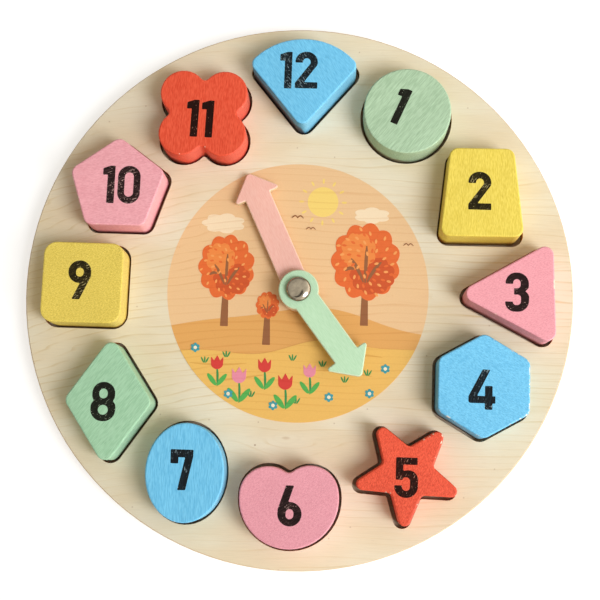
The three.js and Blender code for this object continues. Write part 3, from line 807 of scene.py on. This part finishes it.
def hill(height, waves):
    # from the left of the disc over the hill's line to the right, and back along the disc
    radius = dial["radius"] - 0.05
    top = []
    for k in range(-60, 61):
        x = radius * k / 60
        y = height + sum(size * math.sin((x + shift) / length) for size, length, shift in waves)
        if math.hypot(x, y) < radius:
            top.append(Vector((x, y)))
    start = math.atan2(top[-1].y, top[-1].x)
    end = math.atan2(top[0].y, top[0].x)
    if end > start:
        end -= 2 * math.pi
    turns = [start + (end - start) * k / 60 for k in range(61)]
    return top + [Vector((radius * math.cos(a), radius * math.sin(a))) for a in turns]


def sunShapes(x, y, radius):
    # a round sun in a ring of twelve short rays
    shapes = [oval(x, y, radius, radius)]
    for a in (math.pi / 6 * n for n in range(12)):
        way = Vector((math.cos(a), math.sin(a)))
        ray = [Vector((x, y)) + way * (radius + 1.4 + 0.3 * k) for k in range(8)]
        shapes.append(ribbon(ray, 0.9))
    return shapes


def birdShapes(x, y, size):
    # two wings that meet in a low middle
    return [ribbon([Vector((x + way * size * k / 9,
                            y + size * 0.42 * math.sin(math.pi * (k / 9) ** 0.8)))
                    for k in range(10)], size * 0.2) for way in (-1, 1)]


def trunkShape(x, y, wide, high, tall):
    return roundedCorners([(x - 1.1, y + tall * .5, .2), (x + 1.1, y + tall * .5, .2),
                           (x + 1.6, y - 9, .3), (x - 1.6, y - 9, .3)])


def crownShapes(across, up, wideShare, highShare, lobes, depth):
    # a scalloped shape in each crown, by shares of its width and height
    return [scalloped(x + wide * across, y + tall + high * up, wide * wideShare, high * highShare,
                      lobes, depth) for x, y, wide, high, tall in trees]


def branchShapes(x, y, wide, high, tall):
    # a stem in the crown, with twigs that start just beside it; ends are shares of the crown's size
    fork = Vector((x, y + tall - high * 0.55))
    twigs = [((0, 0), (0.02, 0.95)), ((-0.05, 0.02), (-0.42, 0.62)),
             ((0.05, 0.02), (0.45, 0.55)), ((-0.32, 0.34), (-0.58, 0.3))]
    shapes = []
    for ends in twigs:
        start, end = [fork + Vector((wide * across, high * up)) for across, up in ends]
        spine = [start.lerp(end, k / 9) + Vector((0, wide * 0.06 * math.sin(math.pi * k / 9)))
                 for k in range(10)]
        shapes.append(ribbon(spine, wide * 0.1))
    return shapes


def foliageShapes(x, y, wide, high, tall, phase):
    # little leaves, spread evenly over the crown and pointing outwards
    goldenAngle = 2.4
    shapes = []
    count = round(wide * 2.4)
    for k in range(count):
        reach = math.sqrt((k + 0.8 + phase * 0.7) / count) * 0.84
        a = goldenAngle * k + phase * 2.5
        spot = (x + wide * reach * math.cos(a), y + tall + high * reach * math.sin(a))
        shapes.append(leafShape(*spot, wide * 0.13, wide * 0.07, a + 0.5))
    return shapes


def furrowShape(x, y, shift):
    # a faint line across the near hill
    return ribbon([Vector((x + 1.2 * k, y + 3.0 * math.sin((x + 1.2 * k + shift) / 17)))
                   for k in range(20)], 0.8)


def tuftShapes(x, y):
    # three blades of grass
    return [leafShape(x - lean * 0.013, y, 2.6, 0.65, math.radians(90 + lean))
            for lean in (-28, 0, 26)]


def stemShape(x, y, size):
    return ribbon([Vector((x + 0.5 * math.sin(k / 4), y - k * size * .36)) for k in range(10)], 0.9)


def tulipLeaves(x, y, size):
    return [leafShape(x + .2 + size * .1 * way, y - size * 3.1, size * 2.3, size * .75,
                      math.radians(90 - 38 * way)) for way in (1, -1)]


def tulipShape(x, y, size):
    return roundedCorners([
        (x - size, y + size * 1.5, .15), (x - size * .5, y + size * .8, .15),
        (x, y + size * 1.7, .15), (x + size * .5, y + size * .8, .15),
        (x + size, y + size * 1.5, .15), (x + size * .95, y - size * .1, size * .8),
        (x, y - size * .75, size * .9), (x - size * .95, y - size * .1, size * .8),
    ])


def every(shapesOf, places, *more):
    # all the shapes that a motif has at its places, in one list
    return [shape for place in places for shape in shapesOf(*place, *more)]


# trees: x, y, half the crown's width and height, and how high the crown's middle stands
trees = [(-29, -6, 11.5, 13.5, 15), (27, -4, 14.0, 16.0, 17), (-11.8, -13, 4.8, 5.6, 7)]
# clouds: x, y, half width, half height, lobes and their depth
clouds = [(-31, 27, 9.0, 4.2, 7, 0.2), (29, 32, 7.5, 3.4, 6, 0.2)]
# birds: x, y and size
birds = [(-1, 30, 2.4), (4.5, 25.5, 1.9), (44, 20, 2.0)]
# waves of a hill's line: height, length and shift
farWaves = [(5.0, 21, 30), (1.0, 9, 0)]
nearWaves = [(3.0, 17, 6), (1.2, 7, 2)]
# furrows: where they start, x and y, and the shift of their wave
furrows = [(-42, -27.5, 6), (12, -27.5, 6), (-34, -34.5, 15), (8, -34.5, 15)]
tufts = [(-36, -30), (-27.5, -27.5), (-17, -43), (1, -45), (11, -30), (20, -36), (29, -33),
         (22, -26), (-1, -28)]
# tulips: x, y and size
redTulips = [(-31, -31, 2.5), (-12, -31.5, 2.6), (-3.5, -38, 2.9)]
pinkTulips = [(-22, -36, 2.9), (6, -33, 2.5)]
tulips = redTulips + pinkTulips
daisies = [(-26, -42), (-8, -46), (14, -42), (36, -30), (-40, -24), (30, -40)]

# the inks in their order of printing: piece, colour and shapes
layers = [
    ("disc", "peach", [oval(0, 0, dial["radius"], dial["radius"], 180),
                       oval(*pivotAt, dial["hole"], dial["hole"], 48)]),
    ("sun", "sun", sunShapes(9, 37, 6.2)),
    ("clouds", "cloud", [scalloped(*cloud) for cloud in clouds]),
    ("far_hill", "farHill", [hill(-12, farWaves)]),
    ("trunks", "trunk", [trunkShape(*tree) for tree in trees]),
    ("crowns", "crown", crownShapes(0, 0, 1, 1, 11, 0.12)),
    ("crown_shades", "crownDeep", crownShapes(0.2, -0.34, 0.66, 0.5, 9, 0.12)),
    ("crown_lights", "crownLight", crownShapes(-0.22, 0.25, 0.52, 0.5, 8, 0.14)),
    ("branches", "trunk", every(branchShapes, trees)),
    ("leaf_ticks", "crown", every(foliageShapes, trees, 0.0)),
    ("leaf_glints", "leafGlint", every(foliageShapes, trees, 0.5)),
    ("birds", "trunk", every(birdShapes, birds)),
    ("near_hill", "nearHill", [hill(-23, nearWaves)]),
    ("furrows", "furrow", [furrowShape(*furrow) for furrow in furrows]),
    ("tufts", "leafDark", every(tuftShapes, tufts)),
    ("stems", "leafDark", [stemShape(*tulip) for tulip in tulips]),
    ("leaves", "leaf", every(tulipLeaves, tulips)),
    ("tulips_red", "red", [tulipShape(*tulip) for tulip in redTulips]),
    ("tulips_pink", "pink", [tulipShape(*tulip) for tulip in pinkTulips]),
    ("daisies", "teal", [scalloped(x, y, 1.9, 1.9, 6, 0.3) for x, y in daisies]),
    ("daisy_hearts", "cream", [oval(x, y, 0.7, 0.7, 16) for x, y in daisies]),
]

for number, (name, tone, outlines) in enumerate(layers):
    # every ink goes down into the one below, and the disc into the wood
    base = board["faceTop"] + (0.005 if number else -0.005)
    top = board["faceTop"] + dial["ink"] * (number + 1)
    printed = flatPiece(f"print_{name}", outlines, base, top - base)
    dress(printed, printFinish(f"print_{tone}_{number}", prints[tone]), "board")
print("disc printed in", len(layers), "inks")


# The hands: thin ply arrows, painted on both faces, their cut edges left bare

hands = {
    "minute_hand": {"paint": "handPink", "slot": "hand_pink", "turn": 115.3, "length": 3.0,
                    "contrast": 0.1, "seat": (3, 5, 10.1)},
    "hour_hand": {"paint": "handGreen", "slot": "hand_green", "turn": -52.4, "length": 3.0,
                  "contrast": 0.1, "seat": (9, -4, 14.2)},
}

handWood = {
    "ply": 1.0,
    "edge": photoColour(244, 232, 190),
    "corner": photoColour(250, 244, 216),
    "ease": 0.15,
}


def handFinish(name, hand):
    finish = Finish(name)
    grain, colour = painted(finish, hand, hand["seat"])
    z = finish.place(hand["seat"])[2]
    level = abs(finish.facing()[2])
    wall = 1 - finish.rise(level, 0.2, 0.5)
    corner = (1 - finish.rise(level, 0.9, 0.99)) * (1 - wall)
    edge = finish.blend(0.5, pliedEdge(finish, z, 0.0, handWood["ply"]), handWood["edge"])
    colour = finish.blend(corner * 0.25, colour, handWood["corner"])
    colour = finish.blend(wall, colour, edge)
    return finish.done({
        "Base Color": colour,
        "Roughness": grain * 0.2 + 0.42,
        "Specular IOR Level": 0.35,
        "Normal": finish.relief(grain, 0.03, 0.5),
    })


for node, hand in hands.items():
    arrow = cadCopy(node, f"painted_{node}")
    easeCorners(arrow, handWood["ease"])
    dress(arrow, handFinish(f"paint_{node}", hand), node, node)
print("hands painted")


# The pivot: cap, rivet and washers

pivot = {
    "capBase": 18.0,
    # half of the cap's section, from the middle of the crown down and round the rolled rim
    "capLine": [(0, 2.2), (0.5, 2.199), (1.0, 2.193), (1.4, 2.18), (1.8, 2.153), (2.1, 2.12),
                (2.4, 2.075), (2.8, 2.0), (3.2, 1.905), (3.6, 1.785), (3.9, 1.67), (4.1, 1.57),
                (4.28, 1.45), (4.4, 1.36), (4.5, 1.24), (4.59, 1.1), (4.69, 0.95), (4.79, 0.8),
                (4.86, 0.66), (4.9, 0.5), (4.84, 0.28), (4.7, 0.1), (4.5, 0.01), (4.3, 0.0),
                (4.1, 0.02), (3.9, 0.25), (3.9, 0.9), (3.4, 1.15), (2.4, 1.4), (0, 1.4)],
    "capSteps": 96,
    "ease": 0.08,
    # the dark of the cap's lower edge, partly grime and partly painted shade
    "grimeAndShade": photoColour(84, 72, 60),
}

# rings are the turning marks; below a given height the cap's edge is darkened, partly grime and
# partly painted shade, and the zinc has none
metals = {
    "nickel_plate": {"colour": photoColour(218, 209, 197), "roughness": 0.03, "ringStep": 0.12,
                     "ringDepth": 0.001, "darkenedBelow": 19.3, "cloud": 0.8},
    "zinc_plate": {"colour": photoColour(186, 188, 190), "roughness": 0.28, "ringStep": 0.09,
                   "ringDepth": 0.006, "darkenedBelow": -9, "cloud": 0.16},
}


def metalFinish(name):
    metal = metals[name]
    finish = Finish(name)
    z = finish.place()[2]
    rings = finish.node("ShaderNodeTexNoise", {"noise_dimensions": "1D"}, {
        "W": finish.away(pivotAt) / metal["ringStep"], "Scale": 1.0, "Detail": 3.0}, "Fac")
    smear = finish.noise((2.4, 1.6, 1.2), 30, detail=3)
    # the lower edge of the cap is darkened, partly grime where no cloth reaches and partly painted
    # shade for the dark outline round it
    grimeAndShade = 1 - finish.rise(z + smear * 0.6, metal["darkenedBelow"], metal["darkenedBelow"] + 0.7)
    tint = finish.shade(metal["colour"], (smear - 0.5) * metal["cloud"] + 1)
    return finish.done({
        "Base Color": finish.blend(grimeAndShade * 0.75, tint, pivot["grimeAndShade"]),
        "Metallic": 1.0,
        "Roughness": smear * 0.12 + rings * 0.06 + grimeAndShade * 0.25 + metal["roughness"],
        "Normal": finish.relief(rings, metal["ringDepth"], 0.6),
    })


def nylonFinish():
    finish = Finish("nylon_natural")
    hazeAndSheen = finish.noise((1.5, 1.5, 1.5), detail=3)
    return finish.done({
        "Base Color": finish.shade(photoColour(236, 231, 218), hazeAndSheen * 0.1 + 0.94),
        "Roughness": hazeAndSheen * 0.15 + 0.38,
        "Normal": finish.relief(hazeAndSheen, 0.01),
    })


# the cap starts as one point, is drawn out along its section and spun
axis = Vector((pivotAt[0], pivotAt[1], pivot["capBase"])) * mm
section = [axis + Vector((out, 0, up)) * mm for out, up in pivot["capLine"]]
bpy.ops.object.select_all(action="DESELECT")
bpy.ops.mesh.primitive_plane_add(size=mm, location=section[0])
cap = bpy.context.object
cap.name = "spun_cap"
bpy.ops.object.transform_apply()
editMesh(cap)
bpy.ops.mesh.merge(type="CENTER")
for here, following in zip(section, section[1:]):
    bpy.ops.mesh.extrude_vertices_move(TRANSFORM_OT_translate={"value": following - here})
bpy.ops.mesh.select_all(action="SELECT")
bpy.ops.mesh.spin(steps=pivot["capSteps"], angle=2 * math.pi, axis=(0, 0, 1), center=axis)
bpy.ops.mesh.select_all(action="SELECT")
bpy.ops.mesh.remove_doubles(threshold=0.002 * mm)
bpy.ops.mesh.normals_make_consistent(inside=False)
leaveMesh()
smoothFlats(cap, 60)
dress(cap, metalFinish("nickel_plate"), "board", "pivot_cap")

zinc = metalFinish("zinc_plate")
nylon = nylonFinish()
for node, finish, slot in (("pivot_rivet", zinc, "steel"), ("rear_washer", zinc, "steel"),
                           ("cap_washer", zinc, "steel"), ("spacer_washer", nylon, "nylon"),
                           ("hand_washer", nylon, "nylon")):
    turnedPart = cadCopy(node, f"turned_{node}")
    easeCorners(turnedPart, pivot["ease"])
    dress(turnedPart, finish, "board", node)
print("pivot fitted")


# Floor, light and camera; these sizes are in metres

studio = {
    "floor": photoColour(190, 190, 190),
    "floorSize": 6,
    "floorDrop": 0.0001,        # keeps it out of the plane of the board's back
    "floorGlow": 0.64,
    "roomColour": (1.0, 0.915, 0.73, 1),
    "roomPower": 1.15,
    "zenith": 0.45,
    "horizon": 0.08,
    "under": 0.85,              # light from below the horizon
    "side": 2.0,                # low light from a pale wall on the right
    "stripAt": (0.1, 0.05),     # a dark strip overhead, and which way it runs
    "stripWay": (-0.522, -0.853),
    "lampColour": (0.915, 0.94, 1.0),
    "lampPower": 17.45,
    "lampSize": 0.74,
    "lampFrom": (0.75, -0.37, 1.01),
    "lampFacing": (-0.03, 0.86, -0.51),   # past the clock, so its light fades towards six and nine
}

bpy.ops.object.select_all(action="DESELECT")
bpy.ops.mesh.primitive_plane_add(size=studio["floorSize"], location=(0, 0, -studio["floorDrop"]))
floor = bpy.context.object
floor.name = "floor"
paper = Finish("floor_paper")
fleck = paper.noise((2, 2, 2), detail=3)
sheet = paper.node("ShaderNodeBsdfPrincipled", {}, {
    "Base Color": paper.shade(studio["floor"], fleck * 0.01 + 0.995),
    "Roughness": 0.9,
    "Specular IOR Level": 0.1,
    "Emission Color": (1, 1, 1, 1),
    "Emission Strength": studio["floorGlow"],
})
# clear from below, so that the underside of the board can be looked at
fromBelow = paper.node("ShaderNodeNewGeometry", {}, {}, "Backfacing")
clear = paper.node("ShaderNodeBsdfTransparent", {}, {})
paper.node("ShaderNodeOutputMaterial", {}, {
    "Surface": paper.node("ShaderNodeMixShader", {}, [fromBelow, sheet, clear])})
floor.data.materials.append(paper.owner)

world = bpy.data.worlds.new("studio")
scene.world = world
room = Finish("studio", world)
x, y, z = room.axes(room.node("ShaderNodeTexCoord", {}, {}, "Generated"))
sky = studio["horizon"] + room.rise(z, 0.0, 1.0) * (studio["zenith"] - studio["horizon"])
sky = sky + room.rise(-z, 0.0, 0.05) * studio["under"]
aboveHorizon = 1 - room.rise(-z, 0, 0.1)
wallLight = (x - y * 0.35).math("MAXIMUM", 0) * (1 - z).math("MAXIMUM", 0) * aboveHorizon
# the strip is bowed, and shows in the cap
offX, offY = x - studio["stripAt"][0], y - studio["stripAt"][1]
wayX, wayY = studio["stripWay"]
along = offX * wayX + offY * wayY
across = offY * wayX - offX * wayY
fromBow = abs(across - 0.14 + ((along - 0.25) / 0.33) ** 2 * 0.14)
stripEnds = room.rise(along, -0.1, 0.0) * (1 - room.rise(along, 0.55, 0.7))
strip = (1 - room.rise(fromBow, 0.07, 0.12)) * stripEnds
bright = (sky + wallLight * studio["side"]) * (1 - strip * room.rise(z, 0.2, 0.4) * 0.88)
backdrop = room.node("ShaderNodeBackground", {}, {
    "Color": studio["roomColour"], "Strength": bright * studio["roomPower"]})
room.node("ShaderNodeOutputWorld", {}, {"Surface": backdrop})

lamp = bpy.data.lights.new("window", "AREA")
lamp.shape = "DISK"
lamp.size = studio["lampSize"]
lamp.energy = studio["lampPower"]
lamp.color = studio["lampColour"]
window = bpy.data.objects.new("window", lamp)
scene.collection.objects.link(window)
window.location = studio["lampFrom"]
window.rotation_euler = Vector(studio["lampFacing"]).to_track_quat("-Z", "Y").to_euler()

view = {
    "at": (0.01772, -0.06902, 0.46547),
    "tilt": (0.1438, 0.0311, 0.0),     # an axis times an angle, before the roll
    "roll": 2.0,
    "lens": 69.0,
    "sensor": 36.0,
}
eye = bpy.data.cameras.new("camera")
eye.lens = view["lens"]
eye.sensor_width = view["sensor"]
camera = bpy.data.objects.new("camera", eye)
scene.collection.objects.link(camera)
tilt = Vector(view["tilt"])
tilted = Quaternion(tilt.normalized(), tilt.length).to_matrix().to_4x4()
rolled = Matrix.Rotation(math.radians(view["roll"]), 4, "Z") @ tilted
camera.matrix_world = Matrix.Translation(view["at"]) @ rolled
scene.camera = camera
scene.view_settings.view_transform = "Standard"
print("studio set")
